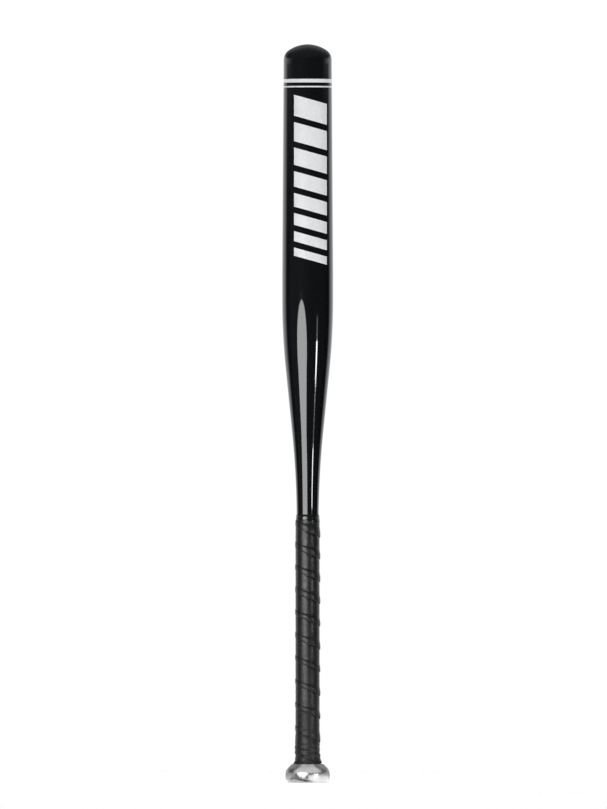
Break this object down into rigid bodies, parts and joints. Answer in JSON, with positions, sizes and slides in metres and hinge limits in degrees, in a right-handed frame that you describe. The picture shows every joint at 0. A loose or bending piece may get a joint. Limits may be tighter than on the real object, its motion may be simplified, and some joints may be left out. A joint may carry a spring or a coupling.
{
  "type": "baseball bat",
  "caption": "Aluminium baseball bat: gloss black tube with a closed domed barrel end, spiral-wound grip and a polished flared knob.",
  "frame": {"origin": "centre of the knob's flat base, the lowest point when the bat stands upright", "axes": "+Z along the bat's axis from the knob to the barrel's crown; the printed front faces -Y; +X is to the right of the front"},
  "size_m": [0.0564, 0.0563, 0.813],
  "materials": {
    "black_paint": "gloss",
    "polished_aluminium": "polished",
    "weld_bead": "satin",
    "grip_leather": "matte",
    "adhesive": "matte",
    "black_vinyl": "gloss",
    "white_film": "satin",
    "black_rubber": "matte"
  },
  "bodies": {
    "root": {"barrel_shell": "black_paint", "end_plug": "black_rubber", "knob": "polished_aluminium", "knob_plug": "black_rubber", "knob_weld": "weld_bead", "grip_backing": "adhesive", "grip_wrap": "grip_leather", "finish_tape": "black_vinyl", "barrel_graphic": "white_film"}
  },
  "joints": []
}
